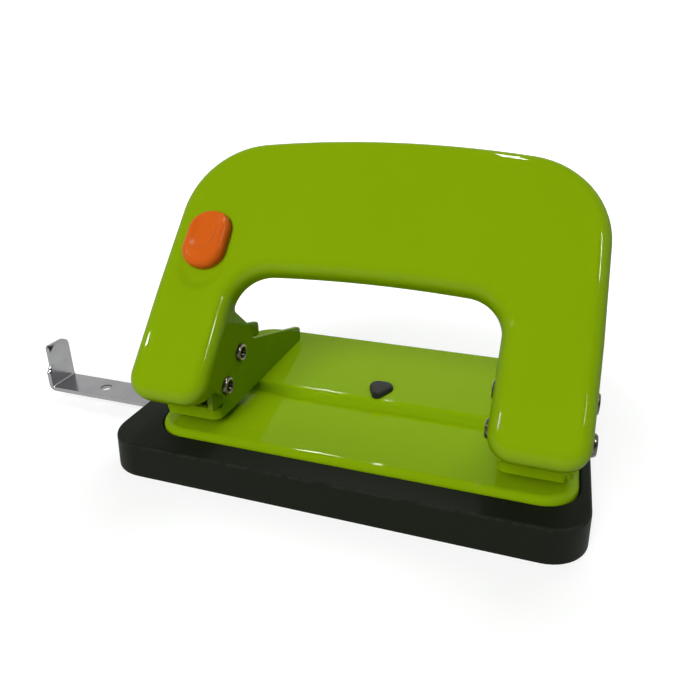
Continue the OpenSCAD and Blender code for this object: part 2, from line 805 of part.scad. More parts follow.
module paper_guide() {
    hole_at = 16;
    color([0.66, 0.67, 0.68])
        difference() {
            union() {
                translate([-guide_out, strip_y - strip_w / 2, strip_z])
                    cube([guide_out + strip_in, strip_w, strip_t]);
                // Upright stop tab, narrower above its shoulder
                translate([-guide_out, strip_y - strip_w / 2, strip_z])
                    cube([strip_t, strip_w, strip_t + tab_h - tab_neck]);
                translate([-guide_out, strip_y + strip_w / 2, strip_top])
                    rotate([90, 0, 90])
                        linear_extrude(strip_t) round_box(2 - strip_w, 0, 0, tab_h, 1.6);
            }
            translate([-guide_out + hole_at, strip_y, strip_z - eps])
                cylinder(h = strip_t + 2 * eps, r = 1.6);
            translate([stop_x, strip_y, strip_z - eps]) cylinder(h = strip_t + 2 * eps, r = stop_r + fix_gap);
        }
}

module guide_keeper() {
    z0 = strip_top + slide_gap;
    color(steel)
        difference() {
            translate([keeper_x - keeper_w / 2, strip_y - keeper_reach - keeper_lip, z0])
                cube([keeper_w, 2 * (keeper_reach + keeper_lip), keeper_t]);
            for (side = [-1, 1])
                keeper_place(side)
                    translate([0, 0, z0 - eps])
                        cylinder(h = keeper_t + 2 * eps, r = keeper_screw_r + fix_gap);
        }
}

module keeper_screws() {
    z0 = strip_top + slide_gap;
    color(steel)
        for (side = [-1, 1])
            keeper_place(side) {
                translate([0, 0, tray_floor + 0.7])
                    cylinder(h = z0 + keeper_t - tray_floor - 0.6, r = keeper_screw_r);
                translate([0, 0, z0 + keeper_t]) cylinder(h = keeper_head_h, r = keeper_head_r);
            }
}

module guide_stop() {
    color(steel)
        translate([stop_x, strip_y, 0]) {
            translate([0, 0, strip_z]) cylinder(h = strip_t + eps, r = stop_r);
            translate([0, 0, strip_top]) cylinder(h = keeper_t, r = stop_head_r);
        }
}

base_tray();
base_plate();
centre_marker();
left_bracket();
right_bracket();
left_hinge_pin();
right_hinge_pin();
lever();
left_drive_pin();
right_drive_pin();
left_punch();
right_punch();
left_guide_barrel();
right_guide_barrel();
left_spring();
right_spring();
lock_button();
lock_tongue();
lock_screw();
paper_guide();
guide_keeper();
keeper_screws();
guide_stop();
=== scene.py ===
"""Looks of a two-hole desk punch: green enamelled sheet steel on a black chip tray."""
import math

import bmesh
import bpy
import numpy as np
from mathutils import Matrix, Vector, geometry


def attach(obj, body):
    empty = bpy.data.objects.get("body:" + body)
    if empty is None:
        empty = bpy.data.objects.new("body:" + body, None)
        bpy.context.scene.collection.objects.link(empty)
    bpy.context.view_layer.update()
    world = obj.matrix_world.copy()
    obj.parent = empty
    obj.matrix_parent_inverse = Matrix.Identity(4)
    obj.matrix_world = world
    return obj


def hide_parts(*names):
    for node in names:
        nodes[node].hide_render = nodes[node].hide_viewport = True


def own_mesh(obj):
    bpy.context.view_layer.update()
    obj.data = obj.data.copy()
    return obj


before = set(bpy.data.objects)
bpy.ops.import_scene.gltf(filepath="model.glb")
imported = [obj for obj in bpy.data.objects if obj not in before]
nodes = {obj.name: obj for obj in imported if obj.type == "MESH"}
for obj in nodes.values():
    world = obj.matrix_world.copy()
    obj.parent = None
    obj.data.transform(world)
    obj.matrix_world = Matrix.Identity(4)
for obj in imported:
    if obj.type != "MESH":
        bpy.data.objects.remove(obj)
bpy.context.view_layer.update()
MM = 0.001

# Tolerances: welded points and slivers in metres, equal coordinates in millimetres
WELD, SLIVER, TINY = 2e-6, 1e-7, 1e-6
# A step longer than any side, so that an outline has no points between its corners
CORNERS_ONLY = 500

# Sizes of the punch, in millimetres
HALF = 40.0
PUNCH_R = 3.0
PLATE_X, PLATE_Y0, PLATE_Y1 = 49.7, -13.1, 48.2
PLATE_CORNER, PLATE_ROLL, SHEET = 8.5, 1.6, 1.2
SEAT_Z, BAND_Z, PLATFORM_Z, STOP_Y = 7.6, 9.9, 12.2, 11.7
TRAY_X0, TRAY_X1, TRAY_Y0, TRAY_Y1 = -58.6, 52.3, -20.4, 50.9
TRAY_Z, TRAY_FLOOR, TRAY_CORNER = 8.6, 1.6, 9.0
SEAT_GAP, LEDGE = 0.3, 3.0
HINGE_Y, HINGE_Z, DRIVE_Y, DRIVE_Z = -8.5, 21.6, -0.858, 26.794
LEAN = math.radians(42)
LEVER_X, LEG_IN, LEG_DROP, LEVER_TOP, BAR_LOW = 49.7, 30.3, 7.6, 61.3, 26.3
FACE_N, FLANGE_N, LEVER_ROLL = 11.5, 6.4, 3.4
TOP_CORNER, TOP_CROWN, LEG_CORNER, OPEN_CORNER, OPEN_CROWN = 20.0, 255.0, 5.5, 8.5, 330.0
EAR_UP, EAR_DOWN, EAR_BACK, EAR_CORNER = 16.4, 2.6, 7.6, 6.5
DRIVE_S, DRIVE_N, PIN_R, HEAD_R, PEEN_R = 8.96, -2.244, 1.5, 2.55, 2.25
PIN_FREE, PIN_SNUG, PIN_PLAY = 0.05, 0.02, 0.35
BRACKET_X, BRACKET_Y0, BRACKET_Y1, BEND, WEB_H = 7.6, -9.6, 41.6, 2.4, 3.0
SLOPE_Y, SLOPE_H, TIP_H, CREST_Y, CREST_H, CHEEK_Y = 10.4, 13.3, 4.2, 7.6, 17.0, -12.2
BUTTON_X, BUTTON_S, BUTTON_W, BUTTON_L, BUTTON_H = -39.0, 31.1, 10.6, 14.8, 2.7
LOCK_TRAVEL = 4.5
STRIP_Y, STRIP_W, STRIP_Z, GUIDE_X, STRIP_END = 8.7, 9.2, 3.0, -96.0, 12.5
TAB_H, TAB_NECK = 12.2, 7.0
MARKER_Y, MARKER_L, MARKER_W, MARKER_H = 12.6, 7.8, 6.2, 1.5
SPRING_Z0, SPRING_Z1, COIL_R, WIRE_R, COIL_TURNS = 14.2, 24.02, 3.85, 0.35, 4


# Outlines and skins

def arc(cx, cy, r, a0, a1, steps):
    """Points of an arc between two angles in degrees."""
    t = np.radians(np.linspace(a0, a1, steps + 1))
    return np.stack([cx + r * np.cos(t), cy + r * np.sin(t)], 1)


def circle(cx, cy, r, steps=32):
    return arc(cx, cy, r, 0, 360, steps)[:-1]


def line(p, q, step):
    """Points between two ends, the ends left out."""
    p, q = np.asarray(p, float), np.asarray(q, float)
    n = max(1, int(np.linalg.norm(q - p) / step))
    return [p + (q - p) * i / n for i in range(1, n)]


def rounded(arcs, inset, step, steps):
    """Closed outline along tangent arcs (cx, cy, r, a0, a1, +1 convex or -1 hollow), drawn in by an inset."""
    runs = [arc(a[0], a[1], a[2] - a[5] * inset, a[3], a[4], steps) for a in arcs]
    points = []
    for run, after in zip(runs, runs[1:] + runs[:1]):
        points += list(run) + line(run[-1], after[0], step)
    return np.array(points)


def box_arcs(x0, y0, x1, y1, r):
    """The corners of a rectangle."""
    return [(x1 - r, y0 + r, r, 270, 360, 1), (x1 - r, y1 - r, r, 0, 90, 1),
            (x0 + r, y1 - r, r, 90, 180, 1), (x0 + r, y0 + r, r, 180, 270, 1)]


def inside(points, loop):
    """Which points lie inside a closed loop."""
    x, y = points[:, 0], points[:, 1]
    hit = np.zeros(len(points), bool)
    for (x0, y0), (x1, y1) in zip(loop, np.roll(loop, -1, 0)):
        crosses = (y0 > y) != (y1 > y)
        reach = (x1 - x0) * (y - y0) / (y1 - y0 if y1 != y0 else 1e-12) + x0
        hit ^= crosses & (x < reach)
    return hit


class Skin:
    """Collects the points and faces of one piece, in millimetres."""

    def __init__(self):
        self.points, self.faces = [], []

    def ring(self, points):
        start = len(self.points)
        self.points += [tuple(map(float, p)) for p in points]
        return range(start, len(self.points))

    def strip(self, a, b, closed=True):
        n = len(a)
        for i in range(n if closed else n - 1):
            j = (i + 1) % n
            self.faces.append((a[i], a[j], b[j], b[i]))

    def rows(self, rings, closed=True):
        rings = [self.ring(r) for r in rings]
        for a, b in zip(rings, rings[1:]):
            self.strip(a, b, closed)

    def fill(self, loops, place, extra=()):
        """Triangulates a flat region: the first loop is its outside, the others are holes."""
        flat, edges = [], []
        for loop in loops:
            n, k = len(flat), len(loop)
            flat += [tuple(map(float, p[:2])) for p in loop]
            edges += [(n + i, n + (i + 1) % k) for i in range(k)]
        flat += [tuple(map(float, p)) for p in extra]
        out = geometry.delaunay_2d_cdt([Vector(p) for p in flat], edges, [], 0, TINY, False)
        points, faces = np.array([tuple(p) for p in out[0]]), np.array(out[2])
        centres, (u, v) = points[faces].mean(1), np.diff(points[faces], axis=1).transpose(1, 2, 0)
        keep = inside(centres, np.asarray(loops[0])[:, :2]) & (np.abs(u[0] * v[1] - u[1] * v[0]) > TINY)
        for hole in loops[1:]:
            keep &= ~inside(centres, np.asarray(hole)[:, :2])
        ids = self.ring([place(*p) for p in points])
        self.faces += [tuple(ids[i] for i in f) for f, k in zip(faces, keep) if k]

    def solid(self, loop, z0, z1, place):
        """A closed plate between two levels of an outline."""
        loop = np.asarray(loop)
        self.rows([[place(x, y, z) for x, y in loop] for z in (z0, z1)])
        for z in (z0, z1):
            self.fill([loop], lambda x, y, z=z: place(x, y, z))

    def block(self, x0, y0, x1, y1, z0, z1):
        """An upright box with slightly rounded corners."""
        self.solid(rounded(box_arcs(x0, y0, x1, y1, 0.3), 0, CORNERS_ONLY, 2), z0, z1, upright)


def upright(x, y, z):
    return (x, y, z)


def grid(x0, x1, y0, y1, step):
    """Staggered points over a rectangle."""
    rows = np.arange(y0, y1, step * 0.87)
    return [(x, y) for k, y in enumerate(rows) for x in np.arange(x0 + (k % 2) * step / 2, x1, step)]


def spread(points, loops, margin):
    """Points inside the first loop and outside the others, clear of all of them."""
    points = np.array(points)
    keep = inside(points, np.asarray(loops[0]))
    for hole in loops[1:]:
        keep &= ~inside(points, np.asarray(hole))
    every = np.vstack([np.asarray(loop) for loop in loops])
    near = np.array([np.hypot(*(every - p).T).min() for p in points])
    return points[keep & (near > margin)]


# Pieces

def put(name, data):
    """Adds an object to the scene."""
    obj = bpy.data.objects.new(name, data)
    bpy.context.scene.collection.objects.link(obj)
    return obj


def dress(obj, material):
    obj.data.materials.clear()
    obj.data.materials.append(material)


def plain(obj):
    """Turns an object's modifiers into its mesh."""
    graph = bpy.context.evaluated_depsgraph_get()
    mesh = bpy.data.meshes.new_from_object(obj.evaluated_get(graph))
    obj.modifiers.clear()
    obj.data = mesh


def mesh_of(name, skin, outward=None):
    """A welded mesh of a skin. The face that lies furthest along outward looks that way."""
    mesh = bpy.data.meshes.new(name)
    mesh.from_pydata([tuple(c * MM for c in p) for p in skin.points], [], skin.faces)
    shape = bmesh.new()
    shape.from_mesh(mesh)
    bmesh.ops.remove_doubles(shape, verts=shape.verts, dist=WELD)
    bmesh.ops.dissolve_degenerate(shape, edges=shape.edges, dist=SLIVER)
    bmesh.ops.recalc_face_normals(shape, faces=shape.faces)
    if outward is not None:
        way = Vector(outward)
        far = max(shape.faces, key=lambda f: f.calc_center_median().dot(way))
        if far.normal.dot(way) < 0:
            bmesh.ops.reverse_faces(shape, faces=shape.faces)
    shape.to_mesh(mesh)
    shape.free()
    return mesh


def make(name, skin, material, body, replaced=(), sheet=0.0, bevel=0.0, outward=None, angle=40):
    """One piece from a skin, which may get a wall of a sheet's thickness and soft edges."""
    obj = put(name, mesh_of(name, skin, outward))
    if sheet:
        wall = obj.modifiers.new("wall", "SOLIDIFY")
        wall.thickness, wall.offset, wall.use_even_offset = sheet * MM, -1, True
    if bevel:
        edge = obj.modifiers.new("edge", "BEVEL")
        edge.width, edge.segments, edge.limit_method = bevel * MM, 2, "ANGLE"
        edge.angle_limit, edge.use_clamp_overlap = math.radians(angle), True
    if sheet or bevel:
        plain(obj)
    obj.data.shade_smooth()
    obj.data.set_sharp_from_angle(angle=math.radians(angle))
    even = obj.modifiers.new("even", "WEIGHTED_NORMAL")
    even.keep_sharp, even.weight = True, 80
    plain(obj)
    dress(obj, material)
    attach(obj, body)
    if replaced:
        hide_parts(*replaced)
    return obj


# Node trees

def feed(tree, socket, value):
    """Links an input to a socket, or sets it to a constant."""
    if isinstance(value, Value):
        value = value.socket
    if isinstance(value, bpy.types.NodeSocket):
        tree.links.new(value, socket)
    else:
        socket.default_value = value


def add_node(tree, kind, settings=None, **sockets):
    """Adds a node. An input's name has an underline for each space."""
    node = tree.nodes.new(kind)
    for key, value in (settings or {}).items():
        setattr(node, key, value)
    for key, value in sockets.items():
        feed(tree, node.inputs[key.replace("_", " ")], value)
    return node


class Value:
    """A socket in arithmetic: each operator adds a Math node."""

    def __init__(self, tree, socket):
        self.tree, self.socket = tree, socket

    def math(self, operation, *others):
        node = add_node(self.tree, "ShaderNodeMath", {"operation": operation})
        for socket, value in zip(node.inputs, others):
            feed(self.tree, socket, value)
        return Value(self.tree, node.outputs[0])

    def __add__(self, other):
        return self.math("ADD", self, other)

    __radd__ = __add__

    def __sub__(self, other):
        return self.math("SUBTRACT", self, other)

    def __rsub__(self, other):
        return self.math("SUBTRACT", other, self)

    def __mul__(self, other):
        return self.math("MULTIPLY", self, other)

    __rmul__ = __mul__

    def __pow__(self, other):
        return self.math("POWER", self, other)

    def clamp(self):
        held = self.math("ADD", self, 0.0)
        held.socket.node.use_clamp = True
        return held


class Finish:
    """One material and the nodes it is made of."""

    def __init__(self, name):
        self.material = bpy.data.materials.new(name)
        self.material.use_nodes = True
        self.tree = self.material.node_tree
        self.tree.nodes.clear()
        self.place = self.add("ShaderNodeTexCoord").outputs["Object"]

    def add(self, kind, settings=None, **sockets):
        return add_node(self.tree, kind, settings, **sockets)

    def value(self, socket):
        return Value(self.tree, socket)

    def stretched(self, scale):
        return self.add("ShaderNodeMapping", Vector=self.place, Scale=scale).outputs[0]

    def noise(self, scale, detail=3.0, rough=0.5, at=None):
        node = self.add("ShaderNodeTexNoise", Vector=at or self.place, Scale=scale, Detail=detail,
                        Roughness=rough)
        return self.value(node.outputs[0])

    def axes(self):
        node = self.add("ShaderNodeSeparateXYZ", Vector=self.place)
        return [self.value(s) for s in node.outputs]

    def between(self, value, low, high):
        """0 below low, 1 above high, smooth in between."""
        node = self.add("ShaderNodeMapRange", {"interpolation_type": "SMOOTHSTEP"}, Value=value,
                        From_Min=low, From_Max=high)
        return self.value(node.outputs[0])

    def mix(self, factor, a, b):
        node = self.add("ShaderNodeMix", {"data_type": "RGBA"})
        for key, value in (("Factor_Float", factor), ("A_Color", a), ("B_Color", b)):
            feed(self.tree, next(s for s in node.inputs if s.identifier == key), value)
        return next(s for s in node.outputs if s.identifier == "Result_Color")

    def bump(self, height, strength, distance):
        return self.add("ShaderNodeBump", Height=height, Strength=strength, Distance=distance).outputs[0]

    def surface(self, **sockets):
        shader = self.add("ShaderNodeBsdfPrincipled", **sockets)
        self.add("ShaderNodeOutputMaterial", Surface=shader.outputs[0])
        return self.material


def rgb(r, g, b):
    return (r, g, b, 1.0)


# Finishes

def green_enamel():
    f = Finish("green_enamel")
    cloud = f.noise(35, 2)
    fine = f.noise(420, 2)
    peel = f.noise(850, 2, 0.55)
    tone = f.mix(cloud, rgb(0.214, 0.35, 0.0016), rgb(0.232, 0.372, 0.0022))
    return f.surface(Base_Color=tone, Roughness=0.3 + 0.1 * fine, Specular_IOR_Level=0.0,
                     Coat_Weight=0.12 + 0.05 * cloud, Coat_Roughness=0.03, Coat_IOR=1.5,
                     Normal=f.bump(peel, 0.06, 0.0001))


def black_rubber():
    """Soft plastic with some dust, worn along the tray's rim."""
    f = Finish("black_tray_plastic")
    grain = f.noise(2600, 2, 0.6)
    cloud = f.noise(60, 4)
    dust = f.between(f.noise(900, 3, 0.7), 0.66, 0.8)
    tone = f.mix(cloud, rgb(0.0088, 0.0108, 0.0064), rgb(0.0106, 0.0127, 0.0079))
    _, _, az = f.axes()
    edge = f.between(az, 0.0078, 0.0082) * (1.0 - f.between(az, 0.0084, 0.00858))
    worn = edge * f.between(f.noise(240, 3, 0.7), 0.35, 0.6)
    tone = f.mix(worn * 0.5, tone, rgb(0.028, 0.031, 0.024))
    tone = f.mix(dust * 0.3, tone, rgb(0.03, 0.032, 0.027))
    return f.surface(Base_Color=tone, Roughness=0.52 + 0.16 * cloud, Specular_IOR_Level=0.07,
                     Normal=f.bump(grain, 0.22, 0.00008))


def marker_plastic():
    f = Finish("black_marker_plastic")
    grain = f.noise(2100, 2, 0.6)
    cloud = f.noise(300, 3)
    tone = f.mix(cloud, rgb(0.013, 0.0145, 0.012), rgb(0.02, 0.0215, 0.0185))
    return f.surface(Base_Color=tone, Roughness=0.4 + 0.14 * cloud, Specular_IOR_Level=0.14,
                     Normal=f.bump(grain, 0.1, 0.00006))


def orange_plastic():
    f = Finish("orange_plastic")
    grain = f.noise(1700, 2, 0.6)
    cloud = f.noise(160, 3)
    tone = f.mix(cloud, rgb(0.6, 0.1, 0.007), rgb(0.67, 0.122, 0.01))
    return f.surface(Base_Color=tone, Roughness=0.24 + 0.1 * cloud, Specular_IOR_Level=0.05,
                     Normal=f.bump(grain, 0.12, 0.00006))


def zinc_plate():
    """Brushed along X, with dull spots."""
    f = Finish("zinc_plate")
    brush = f.noise(900, 3, 0.6, f.stretched((0.03, 1.0, 1.0)))
    cloud = f.noise(140, 4, 0.6)
    spot = f.between(f.noise(520, 3, 0.7), 0.6, 0.75)
    tone = f.mix(cloud, rgb(0.235, 0.235, 0.245), rgb(0.34, 0.34, 0.345))
    tone = f.mix(spot * 0.4, tone, rgb(0.16, 0.155, 0.155))
    return f.surface(Base_Color=tone, Metallic=1.0, Roughness=0.13 + 0.12 * brush,
                     Normal=f.bump(brush, 0.06, 0.00006))


def nickel_pin(name, y, z):
    """Staked pin head round the axis at y, z: painted highlight on the rim's crest, painted shade in the
    hollow and on the outer flank.
    """
    f = Finish(name)
    _, ay, az = f.axes()
    away = ((ay - y * MM) ** 2.0 + (az - z * MM) ** 2.0) ** 0.5
    # Painted highlight on the crest ring, with painted shade in the hollow and, partly, on the outer flank
    rim = f.between(away, 0.0013, 0.0016) * (1.0 - 0.7 * f.between(away, 0.0018, 0.0021))
    scuff = f.noise(1500, 3, 0.65)
    # The dark colour is painted shade and the bright one is a painted highlight
    tone = f.mix(rim, rgb(0.02, 0.017, 0.013), rgb(0.3, 0.27, 0.215))
    tone = f.mix(f.between(scuff, 0.55, 0.8) * 0.7, tone, rgb(0.07, 0.058, 0.042))
    return f.surface(Base_Color=tone, Metallic=1.0, Roughness=0.18 + 0.22 * scuff,
                     Normal=f.bump(scuff, 0.08, 0.00006))


def tool_steel():
    """Turned about Z."""
    f = Finish("tool_steel")
    ring = f.noise(1600, 3, 0.6, f.stretched((1.0, 1.0, 6.0)))
    cloud = f.noise(220, 3)
    tone = f.mix(cloud, rgb(0.40, 0.39, 0.37), rgb(0.56, 0.55, 0.52))
    return f.surface(Base_Color=tone, Metallic=1.0, Roughness=0.24 + 0.18 * ring,
                     Normal=f.bump(ring, 0.08, 0.00005))


ENAMEL = green_enamel()
RUBBER = black_rubber()
MARKER_BLACK = marker_plastic()
ORANGE = orange_plastic()
ZINC = zinc_plate()
STEEL = tool_steel()
HINGE_NICKEL = nickel_pin("hinge_pin_nickel", HINGE_Y, HINGE_Z)
DRIVE_NICKEL = nickel_pin("drive_pin_nickel", DRIVE_Y, DRIVE_Z)


# Lever

def at_lever(x, s, n):
    """A point by the lever's own axes: along the hinge, up the lever and out of its face."""
    return (x, HINGE_Y + s * math.sin(LEAN) - n * math.cos(LEAN),
            HINGE_Z + s * math.cos(LEAN) + n * math.sin(LEAN))


CROWN_TILT = math.degrees(math.asin((LEVER_X - TOP_CORNER) / (TOP_CROWN - TOP_CORNER)))
CROWN_S = LEVER_TOP - TOP_CROWN
CORNER_S = CROWN_S + (TOP_CROWN - TOP_CORNER) * math.cos(math.radians(CROWN_TILT))
LEG_S = LEG_CORNER - LEG_DROP
OPEN_TILT = math.degrees(math.asin((LEG_IN - OPEN_CORNER) / (OPEN_CROWN - OPEN_CORNER)))
BAR_S = BAR_LOW - OPEN_CROWN
OPEN_S = BAR_S + (OPEN_CROWN - OPEN_CORNER) * math.cos(math.radians(OPEN_TILT))
LOW_N, NOTCH_N = 6.9, 4.3
# The button's slot, and the stem that runs in it
SLOT_X, SLOT_LOW, SLOT_HIGH, SLOT_R = 2.2, 6.3, 1.8, 2.0
STEM_X, STEM_S, STEM_R = 2.0, 1.7, 1.6
RECESS_DEPTH, RECESS_RIM, RECESS_BLEND = 0.6, 1.9, 2.6
# Share by which the sides draw in, where that starts and over which length it grows
TAPER, TAPER_S, TAPER_L = 0.018, 18, 40


def lever_arcs():
    """The outline in X and S: foot, corner and crown, then the opening under the bar."""
    a, c, s = LEVER_X - LEG_CORNER, LEG_IN + LEG_CORNER, LEG_S
    top, tilt, o, sag = LEVER_X - TOP_CORNER, CROWN_TILT, LEG_IN - OPEN_CORNER, OPEN_TILT
    return [(a, s, LEG_CORNER, 270, 360, 1), (top, CORNER_S, TOP_CORNER, 0, 90 - tilt, 1),
            (0, CROWN_S, TOP_CROWN, 90 - tilt, 90 + tilt, 1),
            (-top, CORNER_S, TOP_CORNER, 90 + tilt, 180, 1),
            (-a, s, LEG_CORNER, 180, 270, 1), (-c, s, LEG_CORNER, 270, 360, 1),
            (-o, OPEN_S, OPEN_CORNER, 180, 90 + sag, -1), (0, BAR_S, OPEN_CROWN, 90 + sag, 90 - sag, -1),
            (o, OPEN_S, OPEN_CORNER, 90 - sag, 0, -1), (c, s, LEG_CORNER, 180, 270, 1)]


def recess(x, s):
    """Offset of the lever's face in the shallow thumb recess."""
    low, high = BUTTON_S - BUTTON_L / 2 - LOCK_TRAVEL + 1.0, BUTTON_S + BUTTON_L / 2 - 1.0
    r = BUTTON_W / 2 - 0.4
    mid = min(max(s, low + r), high - r)
    away = math.hypot(x - BUTTON_X, s - mid) - r
    t = min(max((RECESS_RIM - away) / RECESS_BLEND, 0.0), 1.0)
    return -RECESS_DEPTH * t * t * (3 - 2 * t)


def ear_edge(end):
    """Rear edge of a leg's side wall with its ear, from the upper end down to the notch under the ear."""
    r, mid = 1.2, EAR_CORNER - EAR_BACK
    up = [(end, FLANGE_N)] if end > EAR_UP + r + 0.1 else []
    up += list(arc(EAR_UP + r, FLANGE_N - r, r, 90, 180, 6))
    back = list(arc(EAR_UP - EAR_CORNER, mid, EAR_CORNER, 0, -90, 12))
    foot = list(arc(EAR_CORNER - EAR_DOWN, mid, EAR_CORNER, -90, -180, 12))
    heel = [(-EAR_DOWN + up_by, NOTCH_N - back_by) for up_by, back_by in ((0, 0.6), (0.1, 0.25), (0.3, 0.05))]
    return up + back + foot + heel


def flange_edge(s):
    """How far back the turned-in flange reaches, which rises from the ears' notches to the leg's foot."""
    if s > LEG_S + 0.01:
        return FLANGE_N
    return NOTCH_N + (LOW_N - NOTCH_N) * min(1.0, (LEG_S - s) / (0.9 * LEG_CORNER))


def tapered(x, s, n):
    """A point of the lever, whose sides draw in a little towards the top."""
    return at_lever(x * (1 - TAPER * min(1.0, max(0.0, (s - TAPER_S) / TAPER_L))), s, n)


def lever():
    skin, arcs = Skin(), lever_arcs()

    def outline(inset):
        return rounded(arcs, inset, 1.5, 14)

    def from_recess(points):
        """Oval distance from the recess's middle."""
        return np.hypot(points[:, 0] - BUTTON_X, (points[:, 1] - BUTTON_S + 2) / 1.5)

    rings = []
    for t in np.linspace(0, math.pi / 2, 9):
        loop = outline(LEVER_ROLL * (1 - math.cos(t)))
        rings.append([tapered(x, s, FACE_N - LEVER_ROLL * (1 - math.sin(t))) for x, s in loop])
    skin.rows(rings)
    # Face with the recess round the button's slot, in a finer grid
    face = outline(LEVER_ROLL)
    slot = rounded(box_arcs(BUTTON_X - SLOT_X, BUTTON_S - SLOT_LOW, BUTTON_X + SLOT_X, BUTTON_S + SLOT_HIGH,
                            SLOT_R), 0, 1, 6)
    coarse = spread(grid(-48, 48, -6, 60, 3.0), [face, slot], 1.4)
    coarse = coarse[from_recess(coarse) >= 9.5]
    fine = spread(grid(BUTTON_X - 8.35, BUTTON_X + 8.5, 15, 44, 0.6), [face, slot], 0.4)
    fine = fine[from_recess(fine) < 9.2]
    skin.fill([face, slot], lambda x, s: tapered(x, s, FACE_N + recess(x, s)), list(coarse) + list(fine))
    # Turned-in flange, which grows into ears along the straight sides of the legs
    loop = outline(0)
    across = np.abs(loop[:, 0])
    side = (np.abs(across - LEVER_X) < TINY) | (np.abs(across - LEG_IN) < TINY)
    side &= loop[:, 1] > LEG_S - TINY
    top_n = FACE_N - LEVER_ROLL
    upper = skin.ring([tapered(x, s, top_n) for x, s in loop])
    lower = skin.ring([tapered(x, s, flange_edge(s)) for x, s in loop])
    for i in range(len(loop)):
        j = (i + 1) % len(loop)
        if not (side[i] and side[j]):
            skin.faces.append((upper[i], upper[j], lower[j], lower[i]))
    for x in (LEVER_X, -LEVER_X, LEG_IN, -LEG_IN):
        rows = sorted(s for (px, s), ok in zip(loop, side) if ok and abs(px - x) < TINY)
        wall = [(s, top_n) for s in rows] + ear_edge(rows[-1]) + [(LEG_S, NOTCH_N)]
        holes = [circle(0, 0, PIN_R + PIN_FREE), circle(DRIVE_S, DRIVE_N, PIN_R + PIN_SNUG)]
        skin.fill([np.array(wall)] + holes, lambda s, n, x=x: tapered(x, s, n))
    make("lever_shell", skin, ENAMEL, "lever", ["lever"], sheet=SHEET, bevel=0.22,
         outward=(0, -math.cos(LEAN), math.sin(LEAN)))


# Base plate

STEP_LOW, STEP_TOP = 1.3, 1.35


def step_profile():
    """Y and Z along the paper stop, from the band up to the platform."""
    both = STEP_LOW + STEP_TOP
    turn = math.degrees(math.acos(1 - (PLATFORM_Z - BAND_Z) / both))
    foot = STOP_Y + STEP_TOP - both * math.sin(math.radians(turn))
    low = arc(foot, BAND_Z + STEP_LOW, STEP_LOW, -90, turn - 90, 7)
    top = arc(STOP_Y + STEP_TOP, PLATFORM_Z - STEP_TOP, STEP_TOP, 90 + turn, 90, 7)
    return np.vstack([low, top[1:]])


STEP = step_profile()


def plate_z(y):
    return float(np.interp(y, STEP[:, 0], STEP[:, 1]))


def base_plate():
    skin = Skin()
    arcs = box_arcs(-PLATE_X, PLATE_Y0, PLATE_X, PLATE_Y1, PLATE_CORNER)
    stops = list(STEP[:, 0])

    def outline(inset):
        """The plate's edge, with points wherever the step bends."""
        loop = rounded(arcs, inset, 3.0, 12)
        out = []
        for p, q in zip(loop, np.roll(loop, -1, 0)):
            out.append(p)
            if abs(p[0] - q[0]) < TINY:
                inner = [y for y in stops if min(p[1], q[1]) + TINY < y < max(p[1], q[1]) - TINY]
                out += [np.array([p[0], y]) for y in (inner if q[1] > p[1] else inner[::-1])]
        return np.array(out)

    rings = [[(x, y, SEAT_Z) for x, y in outline(0)]]
    for t in np.linspace(0, math.pi / 2, 8):
        loop = outline(PLATE_ROLL * (1 - math.cos(t)))
        rings.append([(x, y, plate_z(y) - PLATE_ROLL * (1 - math.sin(t))) for x, y in loop])
    skin.rows(rings)
    top = outline(PLATE_ROLL)
    holes = [circle(side * HALF, 0, PUNCH_R + 0.05) for side in (-1, 1)]
    rows = [(x, y) for y in stops for x in np.arange(-46.5, 46.6, 3.0)]
    rest = [p for p in grid(-48, 48, -12, 47, 4.0) if not STOP_Y - 2.4 < p[1] < STOP_Y + 2.4]
    extra = list(spread(rest, [top] + holes, 1.5)) + rows
    skin.fill([top] + holes, lambda x, y: (x, y, plate_z(y)), extra)
    return make("plate_shell", skin, ENAMEL, "frame", ["base_plate"], sheet=SHEET, bevel=0.15,
                outward=(0, 0, 1))


# Chip tray

# The slot in the left wall, the hollow behind it, the rails under the strip and the keeper's bosses
CUT_X, CUT_Y, CUT_Z0, CUT_Z1 = -45, 4.8, 2.8, 4.4
HOLLOW_Y0, HOLLOW_Y1, HOLLOW_Z = -11.9, 41.9, 6.6
RAIL_W, RAIL_Z, ROOT = 2, 2.9, 0.2
BOSS_X, BOSS_Y, BOSS_R, BOSS_Z = -50, 7.8, 2.2, 4.4


